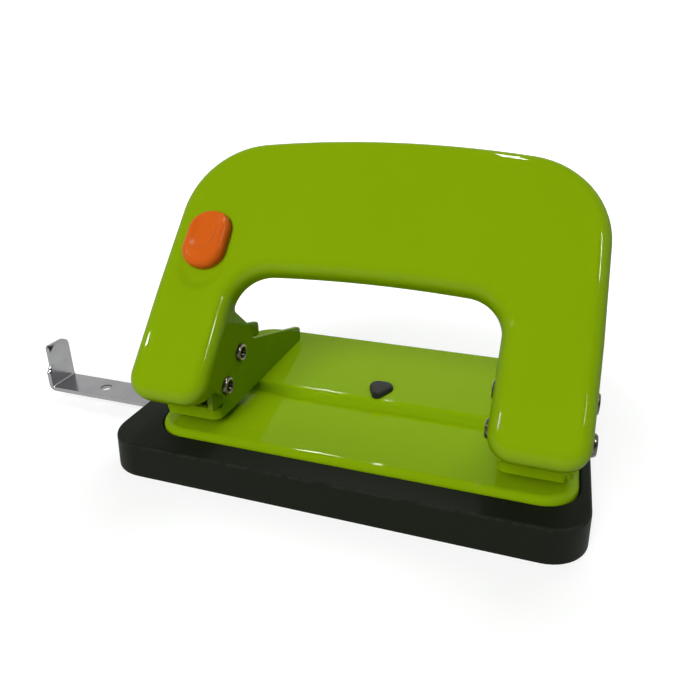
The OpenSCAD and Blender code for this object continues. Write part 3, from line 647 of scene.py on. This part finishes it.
def tray():
    skin = Skin()

    def box(x0, y0, x1, y1, r, z, inset=0.0):
        return [(x, y, z) for x, y in rounded(box_arcs(x0, y0, x1, y1, r), inset, CORNERS_ONLY, 12)]

    outer = (TRAY_X0, TRAY_Y0, TRAY_X1, TRAY_Y1, TRAY_CORNER)
    gap = SEAT_GAP
    seat = (-PLATE_X - gap, PLATE_Y0 - gap, PLATE_X + gap, PLATE_Y1 + gap, PLATE_CORNER + gap)
    well = (-PLATE_X + LEDGE, PLATE_Y0 + LEDGE, PLATE_X - LEDGE, PLATE_Y1 - LEDGE, 2.0)
    draft, foot, rim, lip = -0.35, 0.4, 0.8, 0.45
    rings = []
    for t in np.linspace(0, math.pi / 2, 6):
        rings.append(box(*outer, foot * (1 - math.cos(t)), draft + foot * (1 - math.sin(t))))
    for t in np.linspace(0, math.pi / 2, 6):
        rings.append(box(*outer, TRAY_Z - rim * (1 - math.sin(t)), rim * (1 - math.cos(t))))
    for t in np.linspace(0, math.pi / 2, 5):
        rings.append(box(*seat, TRAY_Z - lip * (1 - math.cos(t)), -lip * (1 - math.sin(t))))
    rings += [box(*seat, SEAT_Z), box(*well, SEAT_Z), box(*well, TRAY_FLOOR)]
    skin.rows(rings)
    for ring, z in ((rings[0], 0.0), (rings[-1], TRAY_FLOOR)):
        skin.fill([np.array(ring)[:, :2]], lambda x, y, z=z: (x, y, z))
    obj = make("tray_body", skin, RUBBER, "tray", ["base_tray"], outward=(0, 0, -1))
    # Slot in the left wall and the hollow that the strip runs in
    cutter = Skin()
    cutter.block(TRAY_X0 - 1, STRIP_Y - CUT_Y, CUT_X, STRIP_Y + CUT_Y, CUT_Z0, CUT_Z1)
    cutter.block(TRAY_X0 + 2, HOLLOW_Y0, CUT_X, HOLLOW_Y1, TRAY_FLOOR, HOLLOW_Z)
    knife = put("cutter", mesh_of("cutter", cutter))
    cut = obj.modifiers.new("cut", "BOOLEAN")
    cut.operation, cut.object, cut.solver, cut.use_self = "DIFFERENCE", knife, "EXACT", True
    plain(obj)
    bpy.data.objects.remove(knife)
    dress(obj, RUBBER)
    rails = Skin()
    for x in (TRAY_X0 + 3.5, -36, -20, 0):
        rails.block(x, STRIP_Y - CUT_Y, x + RAIL_W, STRIP_Y + CUT_Y, TRAY_FLOOR - ROOT, RAIL_Z)
    for side in (-1, 1):
        rails.solid(circle(BOSS_X, STRIP_Y + side * BOSS_Y, BOSS_R), TRAY_FLOOR - ROOT, BOSS_Z, upright)
    make("tray_rails", rails, RUBBER, "tray", bevel=0.15)


# Brackets

WEB_Z = PLATFORM_Z + WEB_H
BEND_Y = BRACKET_Y0 + BEND
SLOPE = (SLOPE_H - TIP_H) / (BRACKET_Y1 - SLOPE_Y)
FOOT_Z, RELIEF_Z = PLATFORM_Z + 0.02, PLATFORM_Z + 1.8
FLANGE_Y, FLANGE_HOLE_R, BRIDGE_L = 6.4, PUNCH_R + 1.02, 1.8
# Upper end and sweep of the drive pin's slot, in degrees about the hinge
SLOT_END, SLOT_SWEEP = 38.2, 53
CATCH_Y, CATCH_L, CATCH_H, CATCH_ROOT, CATCH_TIP, CATCH_BEND = 1.7, 2.9, 16.5, 4.6, -1.2, 1.6


def bracket_wall():
    """Side outline in Y and Z: cheek, crest, long slope and the foot down to the front bend."""
    base, gap = PLATFORM_Z, 0.8
    tip, tail = 1.8, math.degrees(math.atan(1 / SLOPE))
    wall = [(BEND_Y, FOOT_Z), (BRACKET_Y1, FOOT_Z)]
    wall += list(arc(BRACKET_Y1 - tip, base + TIP_H - 0.75 * tip, tip, 0, tail, 6))
    for k in np.linspace(0, 1, 5):
        a, b = 1.2 * (1 - k) ** 2, 0.6 * k * k
        wall.append((SLOPE_Y + a - b, base + SLOPE_H - a * SLOPE + 1.2 * b))
    wall += [(CREST_Y + 0.4, base + CREST_H - 0.6), (CREST_Y - 0.4, base + CREST_H)]
    wall += list(arc(HINGE_Y + 6.0, base + CREST_H - 3.0, 3.0, 90, 124, 4))
    wall += list(arc(CHEEK_Y + 2.2, HINGE_Z + 1.6, 2.2, 130, 180, 4))
    wall += [(CHEEK_Y, WEB_Z + 2 * gap), (CHEEK_Y + 0.25, WEB_Z + 1.3 * gap), (CHEEK_Y + gap, WEB_Z + gap)]
    return wall + [(BEND_Y, WEB_Z + gap), (BEND_Y, WEB_Z), (BEND_Y, RELIEF_Z)]


def drive_slot():
    """Curved slot along the drive pin's path."""
    arm, r = math.hypot(DRIVE_Y - HINGE_Y, DRIVE_Z - HINGE_Z), PIN_R + PIN_PLAY
    a0, a1 = SLOT_END - SLOT_SWEEP, SLOT_END
    low, high = [(HINGE_Y + arm * math.cos(a), HINGE_Z + arm * math.sin(a)) for a in np.radians([a0, a1])]
    runs = [arc(HINGE_Y, HINGE_Z, arm + r, a0, a1, 14), arc(*high, r, a1, a1 + 180, 10),
            arc(HINGE_Y, HINGE_Z, arm - r, a1, a0, 14), arc(*low, r, a0 + 180, a0 + 360, 10)]
    return np.vstack([run[:-1] for run in runs])


def bracket(side):
    skin, x0 = Skin(), side * HALF
    base, flat = PLATFORM_Z, BRACKET_X - BEND
    wall, pin, slot = bracket_wall(), circle(HINGE_Y, HINGE_Z, PIN_R + PIN_SNUG), drive_slot()
    levels = (FOOT_Z, RELIEF_Z, WEB_Z)
    for way in (-1, 1):
        x = x0 + way * BRACKET_X
        skin.fill([np.array(wall), pin, slot], lambda y, z, x=x: (x, y, z))
        # Bend into the front web, the outer one relieved at its foot
        rings = []
        for t in np.radians([0, 15, 27, 45, 63, 75, 90]):
            px, py = x - way * BEND * (1 - math.cos(t)), BEND_Y - BEND * math.sin(t)
            rings.append(skin.ring([(px, py, z) for z in levels]))
        for k, (a, b) in enumerate(zip(rings, rings[1:])):
            for i in (0, 1):
                if i or way != side or k not in (2, 3):
                    skin.faces.append((a[i], a[i + 1], b[i + 1], b[i]))
    skin.rows([[(x0 + way * flat, BRACKET_Y0, z) for z in levels] for way in (-1, 1)], closed=False)
    name = "left" if side < 0 else "right"
    make(name + "_bracket_sheet", skin, ENAMEL, "frame", [name + "_bracket"], sheet=SHEET,
         bevel=0.4, outward=(0, -1, 0))
    # Flange that strips the paper, bridge between the crests and the catch that the lock hooks under
    folds, inner = Skin(), BRACKET_X - SHEET + 0.05
    plan = np.array([(x0 - inner, BEND_Y), (x0 - flat, BRACKET_Y0 + 0.9), (x0 + flat, BRACKET_Y0 + 0.9),
                     (x0 + inner, BEND_Y), (x0 + inner, FLANGE_Y), (x0 - inner, FLANGE_Y)])
    hole = circle(x0, 0, FLANGE_HOLE_R)
    for z in (FOOT_Z, base + SHEET):
        folds.fill([plan, hole], lambda x, y, z=z: (x, y, z))
    for loop in (plan, hole):
        folds.rows([[(x, y, z) for x, y in loop] for z in (FOOT_Z, base + SHEET)])
    top, front = base + CREST_H, CREST_Y - BRIDGE_L
    folds.solid([(front, top - SHEET), (CREST_Y, top - SHEET), (CREST_Y, top), (front, top)],
                x0 - inner, x0 + inner, lambda y, z, x: (x, y, z))
    y, top, foot = SLOPE_Y + CATCH_Y, base + CATCH_H, base + SLOPE_H - CATCH_ROOT * SLOPE - 1
    far, bend = BRACKET_X, CATCH_BEND
    hook = [(far - SHEET, foot), (far, foot)] + list(arc(far - bend, top - bend, bend, 0, 90, 6))
    hook += [(CATCH_TIP, top), (CATCH_TIP, top - SHEET)]
    hook += list(arc(far - bend, top - bend, bend - SHEET, 90, 0, 3))
    folds.solid(hook, y, y + CATCH_L, lambda u, z, y: (x0 + side * u, y, z))
    make(name + "_bracket_folds", folds, ENAMEL, "frame", bevel=0.32)


# Button, marker and guide

def button():
    skin = Skin()
    x0, x1 = BUTTON_X - BUTTON_W / 2, BUTTON_X + BUTTON_W / 2
    s0, s1 = BUTTON_S - BUTTON_L / 2, BUTTON_S + BUTTON_L / 2
    arcs = box_arcs(x0, s0, x1, s1, BUTTON_W / 2 - 0.3)
    roll, base, scoop = 1.9, FACE_N - 0.58, 1.2

    def outline(inset):
        return rounded(arcs, inset, 0.6, 14)

    def height(x, s):
        """Height of the thumb face: scooped out towards the top, with a U-shaped ridge round the scoop."""
        u, v = (x - BUTTON_X) / (BUTTON_W / 2), (s - BUTTON_S) / (BUTTON_L / 2)
        deep = 1 - math.hypot((u + 0.1) / 0.75, max(0.0, 0.25 - v) / 0.75)
        return BUTTON_H - scoop * math.sin(math.pi / 2 * min(1.0, max(0.0, deep) / 0.6))

    # The roll is smaller where the scoop runs out over the edge, so the rim is found in a few rounds
    outer, inner = outline(0), outline(roll)
    share = np.ones(len(outer))
    for _ in range(4):
        rim = outer + (inner - outer) * share[:, None]
        share = np.array([height(*p) for p in rim]) / BUTTON_H
    rim = outer + (inner - outer) * share[:, None]
    tops = [height(*p) for p in rim]
    rings = [[at_lever(x, s, base) for x, s in outline(0.25)]]
    for t in np.linspace(0, math.pi / 2, 8):
        loop = outer + (rim - outer) * (1 - math.cos(t))
        rings.append([at_lever(x, s, FACE_N + h - roll * k * (1 - math.sin(t)))
                      for (x, s), h, k in zip(loop, tops, share)])
    skin.rows(rings)
    skin.fill([rim], lambda x, s: at_lever(x, s, FACE_N + height(x, s)),
              spread(grid(x0, x1, s0, s1, 0.45), [rim], 0.25))
    skin.fill([outline(0.25)], lambda x, s: at_lever(x, s, base))
    stem = box_arcs(BUTTON_X - STEM_X, BUTTON_S - STEM_S, BUTTON_X + STEM_X, BUTTON_S + STEM_S, STEM_R)
    skin.solid(rounded(stem, 0, CORNERS_ONLY, 6), FACE_N - 1.3, base + 0.1, at_lever)
    make("button_cap", skin, ORANGE, "lock", ["lock_button"], angle=50)


def marker():
    """A plug with one narrow end, which points at the paper."""
    skin = Skin()
    tip, rear, roll, wall = 1.35, 2.3, 0.85, 0.4
    x, y = MARKER_W / 2 - rear, MARKER_L - rear
    lean = math.degrees(math.atan2(y - tip, x) - math.acos((tip - rear) / math.hypot(x, y - tip)))
    corners = [(0, tip, tip, 180 - lean, 360 + lean), (x, y, rear, lean, 90), (-x, y, rear, 90, 180 - lean)]

    def loop(inset, z):
        points = [arc(cx, cy, r - inset, a0, a1, 8) for cx, cy, r, a0, a1 in corners]
        return [(x, y + MARKER_Y, PLATFORM_Z + z) for x, y in np.vstack(points)]

    rings = [loop(0, -0.12)]
    for k in np.linspace(0, math.pi / 2, 6):
        rings.append(loop(roll * (1 - math.cos(k)), MARKER_H * (wall + (1 - wall) * math.sin(k))))
    skin.rows(rings)
    for ring in (rings[-1], rings[0]):
        skin.fill([np.array(ring)[:, :2]], lambda x, y, z=ring[0][2]: (x, y, z))
    make("marker_plug", skin, MARKER_BLACK, "frame", ["centre_marker"], outward=(0, 0, 1))


HOLE_X, HOLE_R, RIVET_X, RIVET_R = 16, 1.6, 3.5, 1.52


def paper_guide():
    """A strip cut flat and folded up at its end."""
    skin, bend = Skin(), 1.8
    turn = bend * math.pi / 2
    length = STRIP_END - GUIDE_X - bend
    height = SHEET + TAB_H - bend
    half, neck = STRIP_W / 2, 1.3 - STRIP_W / 2
    low = height - TAB_NECK
    end, corner, nick = 1.0, 2.2, 0.8
    loop = [(0, -half)] + list(arc(length - end, end - half, end, -90, 0, 4))
    loop += list(arc(length - end, half - end, end, 0, 90, 4)) + [(0, half)]
    loop += list(arc(corner - turn - height, half - corner, corner, 90, 180, 8))
    loop += [(-turn - height, neck + 0.6), (-turn - height + 0.5, neck), (-turn - low - nick, neck),
             (-turn - low, neck - nick), (-turn - low, -half + nick), (-turn - low + nick, -half)]
    dense = []
    for p, q in zip(loop, loop[1:] + loop[:1]):
        folded = min(p[0], q[0]) < 0.2 and max(p[0], q[0]) < 0.5
        dense += [np.array(p)] + line(p, q, 0.3 if folded else 3.0)
    loops = [np.array(dense), circle(HOLE_X - bend, 0, HOLE_R, 24), circle(length - RIVET_X, 0, RIVET_R, 24)]
    inner = [(u, v) for u in np.linspace(-turn, 0, 9) for v in np.arange(-half + 0.7, half - 0.3, 0.8)]

    def fold(u, v):
        x0, z0 = GUIDE_X + bend, STRIP_Z
        if u >= 0:
            return (x0 + u, STRIP_Y + v, z0)
        if u > -turn:
            t = -u / bend
            return (x0 - bend * math.sin(t), STRIP_Y + v, z0 + bend * (1 - math.cos(t)))
        return (x0 - bend, STRIP_Y + v, z0 + bend - u - turn)

    skin.fill(loops, fold, spread(inner, loops, 0.25))
    make("guide_strip", skin, ZINC, "guide", ["paper_guide"], sheet=SHEET, bevel=0.16,
         outward=(0, 0, -1))


# Repeated turned and wound pieces, made by node trees

# Inset from the rim and height of a staked head, from its hollow to its seat
HEAD_PROFILE = ((1.7, 0.06), (1.3, 0.12), (1.05, 0.46), (0.85, 0.76), (0.62, 0.88), (0.42, 0.87),
                (0.18, 0.66), (0.05, 0.4), (0.0, 0.12), (0.02, 0.0))
HUB_H, HEAD_TALL, PEEN_TALL = 0.08, 1.45, 1.0
# From the middle of a pin to the seats of its heads
HINGE_REACH, DRIVE_REACH = 9.8, 9.7


def node_tree(name, inputs):
    tree = bpy.data.node_groups.new(name, "GeometryNodeTree")
    for label, kind in inputs:
        tree.interface.new_socket(label, in_out="INPUT", socket_type=kind)
    tree.interface.new_socket("Geometry", in_out="OUTPUT", socket_type="NodeSocketGeometry")
    return tree, tree.nodes.new("NodeGroupInput").outputs, tree.nodes.new("NodeGroupOutput")


def close_tree(tree, given, out, shape):
    """Moves a tree's shape to its place, makes it real and gives it its finish."""
    moved = add_node(tree, "GeometryNodeTransform", Geometry=shape, Translation=given["Place"])
    whole = add_node(tree, "GeometryNodeRealizeInstances", Geometry=moved.outputs[0])
    done = add_node(tree, "GeometryNodeSetMaterial", Geometry=whole.outputs[0], Material=given["Finish"])
    tree.links.new(done.outputs[0], out.inputs[0])
    return tree


def grow(name, tree, values, body, replaced):
    """Runs a node tree with the given inputs and keeps its mesh as one piece."""
    obj = put(name, bpy.data.meshes.new(name))
    modifier = obj.modifiers.new("tree", "NODES")
    modifier.node_group = tree
    for item in tree.interface.items_tree:
        if item.in_out == "INPUT" and item.name in values:
            modifier[item.identifier] = values[item.name]
    plain(obj)
    obj.data.shade_smooth()
    obj.data.set_sharp_from_angle(angle=math.radians(45))
    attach(obj, body)
    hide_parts(*replaced)
    return obj


def spring_tree():
    tree, given, out = node_tree("wound_spring", [
        ("Turns", "NodeSocketFloat"), ("Coil radius", "NodeSocketFloat"), ("Wire radius", "NodeSocketFloat"),
        ("Height", "NodeSocketFloat"), ("Place", "NodeSocketVector"), ("Finish", "NodeSocketMaterial")])
    spiral = add_node(tree, "GeometryNodeCurveSpiral", Resolution=32, Rotations=given["Turns"],
                      Start_Radius=given["Coil radius"], End_Radius=given["Coil radius"],
                      Height=given["Height"])
    wire = add_node(tree, "GeometryNodeCurvePrimitiveCircle", Resolution=12, Radius=given["Wire radius"])
    tube = add_node(tree, "GeometryNodeCurveToMesh", Curve=spiral.outputs[0], Profile_Curve=wire.outputs[0],
                    Fill_Caps=True)
    return close_tree(tree, given, out, tube.outputs[0])


def pin_head(name, outer, tall):
    """A staked head about X, from its seat at 0 outwards: domed rim and a hollow middle."""
    skin, steps = Skin(), 36
    turns = np.linspace(0, 2 * math.pi, steps, endpoint=False)
    skin.rows([[(h * tall, (outer - d) * math.cos(a), (outer - d) * math.sin(a)) for a in turns]
               for d, h in HEAD_PROFILE])
    hub, seat = skin.ring([(HUB_H, 0, 0), (0, 0, 0)])
    last = hub - steps
    skin.faces += [(i, hub, (i + 1) % steps) for i in range(steps)]
    skin.faces += [(last + i, last + (i + 1) % steps, seat) for i in range(steps)]
    return put(name, mesh_of(name, skin, (1, 0, 0)))


def pin_tree():
    tree, given, out = node_tree("staked_pin", [
        ("Right end", "NodeSocketObject"), ("Left end", "NodeSocketObject"), ("Reach", "NodeSocketFloat"),
        ("Shank radius", "NodeSocketFloat"), ("Place", "NodeSocketVector"), ("Finish", "NodeSocketMaterial")])
    parts, reach = add_node(tree, "GeometryNodeJoinGeometry"), Value(tree, given["Reach"])
    for end, turn, sign in (("Right end", 0.0, 1.0), ("Left end", math.pi, -1.0)):
        head = add_node(tree, "GeometryNodeObjectInfo", Object=given[end])
        spot = add_node(tree, "ShaderNodeCombineXYZ", X=reach * sign)
        point = add_node(tree, "GeometryNodePoints", Count=1, Position=spot.outputs[0])
        copy = add_node(tree, "GeometryNodeInstanceOnPoints", Points=point.outputs[0],
                        Instance=head.outputs["Geometry"], Rotation=(0.0, 0.0, turn))
        tree.links.new(copy.outputs[0], parts.inputs[0])
    shank = add_node(tree, "GeometryNodeMeshCylinder", Vertices=32, Radius=given["Shank radius"],
                     Depth=reach * 2.0)
    laid = add_node(tree, "GeometryNodeTransform", Geometry=shank.outputs[0],
                    Rotation=(0.0, math.pi / 2, 0.0))
    tree.links.new(laid.outputs[0], parts.inputs[0])
    return close_tree(tree, given, out, parts.outputs[0])


def pins_and_springs():
    head, peen = pin_head("staked_head", HEAD_R, HEAD_TALL), pin_head("riveted_end", PEEN_R, PEEN_TALL)
    pins, springs = pin_tree(), spring_tree()
    for side, name in ((-1, "left"), (1, "right")):
        x = side * HALF * MM
        for kind, y, z, reach, body, finish in (
                ("hinge", HINGE_Y, HINGE_Z, HINGE_REACH, "frame", HINGE_NICKEL),
                ("drive", DRIVE_Y, DRIVE_Z, DRIVE_REACH, "lever", DRIVE_NICKEL)):
            grow(f"{name}_{kind}_rivet", pins, {
                "Right end": head if side > 0 else peen, "Left end": peen if side > 0 else head,
                "Reach": reach * MM, "Shank radius": PIN_R * MM,
                "Place": (x, y * MM, z * MM), "Finish": finish}, body, [f"{name}_{kind}_pin"])
        coil = grow(f"{name}_coil", springs, {
            "Turns": float(COIL_TURNS), "Coil radius": COIL_R * MM, "Wire radius": WIRE_R * MM,
            "Height": (SPRING_Z1 - SPRING_Z0 - 2 * WIRE_R) * MM,
            "Place": (x, 0.0, (SPRING_Z0 + WIRE_R) * MM), "Finish": STEEL},
            "frame", [f"{name}_spring"])
        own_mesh(coil)
    for model in (head, peen):
        bpy.data.objects.remove(model)


lever()
plate = base_plate()
tray()
for hand in (-1, 1):
    bracket(hand)
button()
marker()
paper_guide()
pins_and_springs()

# Solids that keep their CAD shape
for part in ("left_punch", "right_punch", "left_guide_barrel", "right_guide_barrel", "lock_screw",
             "keeper_screws", "guide_stop"):
    dress(nodes[part], STEEL)
for part in ("lock_tongue", "guide_keeper"):
    dress(nodes[part], ZINC)


# Camera, floor and light, in metres

FOCAL_PIXELS, PICTURE_PIXELS, SENSOR = 633.73, 695, 36
EYE, EYE_DOWN, EYE_TURN = (0.03725, -0.12422, 0.09103), 24.48, 18.13
FLOOR_HALF = 3
AMBIENT = 0.15
# The lamps stand round this point, and the inner tube shines at a spot on the left leg
MIDDLE, LAMP_FAR = Vector((0, 0.02, 0.03)), 0.9
INNER_SPOT, INNER_SPREAD = Vector((-0.038, -0.004, 0.043)), 0.1
# Name, direction, size and power. The key and back lamps light the object, and the tubes only make highlights
LAMPS = (
    ("key", (-0.12, -0.83, 0.54), (0.45, 0.45), 6.85),
    ("back", (0.1, 0.6, 0.72), (0.6, 0.6), 4.0),
    ("top_tube", (0.0, 0.28, 0.95), (0.046, 0.3), 6.5),
    ("left_tube", (-0.72, -0.384, 0.58), (0.04, 0.025), 1.5),
    ("right_tube", (0.63, -0.16, 0.76), (0.02, 0.15), 3.4),
    ("inner_tube", (0.62, -0.4, 0.67), (0.06, 0.12), 0.0045),
    ("front_tube_1", (-0.44, 0.61, 0.65), (0.056, 0.06), 4.8),
    ("front_tube_2", (-0.32, 0.645, 0.69), (0.073, 0.06), 6.2),
    ("front_tube_3", (-0.21, 0.65, 0.73), (0.025, 0.06), 2.2))


def add_camera():
    scene = bpy.context.scene
    scene.view_settings.view_transform = "Standard"
    lens = bpy.data.cameras.new("camera")
    lens.lens, lens.sensor_width = FOCAL_PIXELS / PICTURE_PIXELS * SENSOR, SENSOR
    lens.clip_start, lens.clip_end = 0.005, 20
    scene.camera = put("camera", lens)
    scene.camera.location = EYE
    scene.camera.rotation_euler = (math.radians(90 - EYE_DOWN), 0, math.radians(EYE_TURN))


def add_floor():
    """A white floor, a little darker under the object so that its shadow shows."""
    f = Finish("pale_floor")
    path = f.add("ShaderNodeLightPath").outputs
    seen = f.value(path["Is Camera Ray"])
    other = f.value(path["Is Glossy Ray"]) + f.value(path["Is Transmission Ray"])
    ax, ay, _ = f.axes()
    far = f.between((ax * ax + ay * ay) ** 0.5, 0.07, 0.16)
    tone = f.mix(f.noise(3, 2), rgb(0.33, 0.33, 0.33), rgb(0.36, 0.36, 0.36))
    matt = f.add("ShaderNodeBsdfDiffuse", Color=tone)
    glow = f.add("ShaderNodeEmission", Color=rgb(1, 1, 1), Strength=seen * (0.72 + 0.28 * far) + other * 0.85)
    both = f.add("ShaderNodeAddShader")
    f.tree.links.new(matt.outputs[0], both.inputs[0])
    f.tree.links.new(glow.outputs[0], both.inputs[1])
    f.add("ShaderNodeOutputMaterial", Surface=both.outputs[0])
    mesh, a = bpy.data.meshes.new("floor"), FLOOR_HALF
    mesh.from_pydata([(-a, -a, 0), (a, -a, 0), (a, a, 0), (-a, a, 0)], [], [(0, 1, 2, 3)])
    floor = put("floor", mesh)
    dress(floor, f.material)


def add_world():
    world = bpy.data.worlds.new("studio")
    bpy.context.scene.world = world
    world.use_nodes = True
    tree = world.node_tree
    tree.nodes.clear()
    path = add_node(tree, "ShaderNodeLightPath").outputs
    seen = (Value(tree, path["Is Glossy Ray"]) + Value(tree, path["Is Transmission Ray"])).clamp()
    room = add_node(tree, "ShaderNodeBackground", Color=rgb(0.8, 1.0, 0.78), Strength=AMBIENT)
    white = add_node(tree, "ShaderNodeBackground", Color=rgb(1, 1, 1))
    around = add_node(tree, "ShaderNodeTexCoord").outputs["Generated"]
    compass = add_node(tree, "ShaderNodeSeparateXYZ", Vector=around).outputs

    def fall(axis, low, high, start, end):
        """From start to end, as the direction along an axis goes from low to high."""
        node = add_node(tree, "ShaderNodeMapRange", {"interpolation_type": "SMOOTHSTEP"}, Value=compass[axis],
                        From_Min=low, From_Max=high, To_Min=start, To_Max=end)
        return Value(tree, node.outputs[0])

    # The white backdrop stands behind the object, and the room above and in front of it is dim
    wall = fall("Z", 0.5, 0.85, 1.0, 0.0) * fall("Y", -0.25, 0.3, 0.0, 1.0)
    shown = (Value(tree, path["Is Camera Ray"]) + seen * wall).clamp()
    sky = add_node(tree, "ShaderNodeMixShader")
    for socket, value in zip(sky.inputs, (shown, room.outputs[0], white.outputs[0])):
        feed(tree, socket, value)
    out = add_node(tree, "ShaderNodeOutputWorld")
    tree.links.new(sky.outputs[0], out.inputs[0])


def add_lamps():
    # The front tubes shine on the plate alone, along its front edge
    front = bpy.data.collections.new("plate_front")
    front.objects.link(plate)
    for name, way, size, watts in LAMPS:
        lamp = bpy.data.lights.new(name, "AREA")
        lamp.shape, lamp.size, lamp.size_y, lamp.energy = "RECTANGLE", *size, watts
        obj = put(name, lamp)
        obj.location = MIDDLE + LAMP_FAR * Vector(way).normalized()
        aim = -Vector(way)
        if "inner" in name:
            aim, lamp.spread = INNER_SPOT - obj.location, INNER_SPREAD
        obj.rotation_euler = aim.to_track_quat("-Z", "Y").to_euler()
        obj.visible_glossy, obj.visible_diffuse = "tube" in name, "tube" not in name
        if "front" in name:
            obj.light_linking.receiver_collection = front


add_camera()
add_floor()
add_world()
add_lamps()
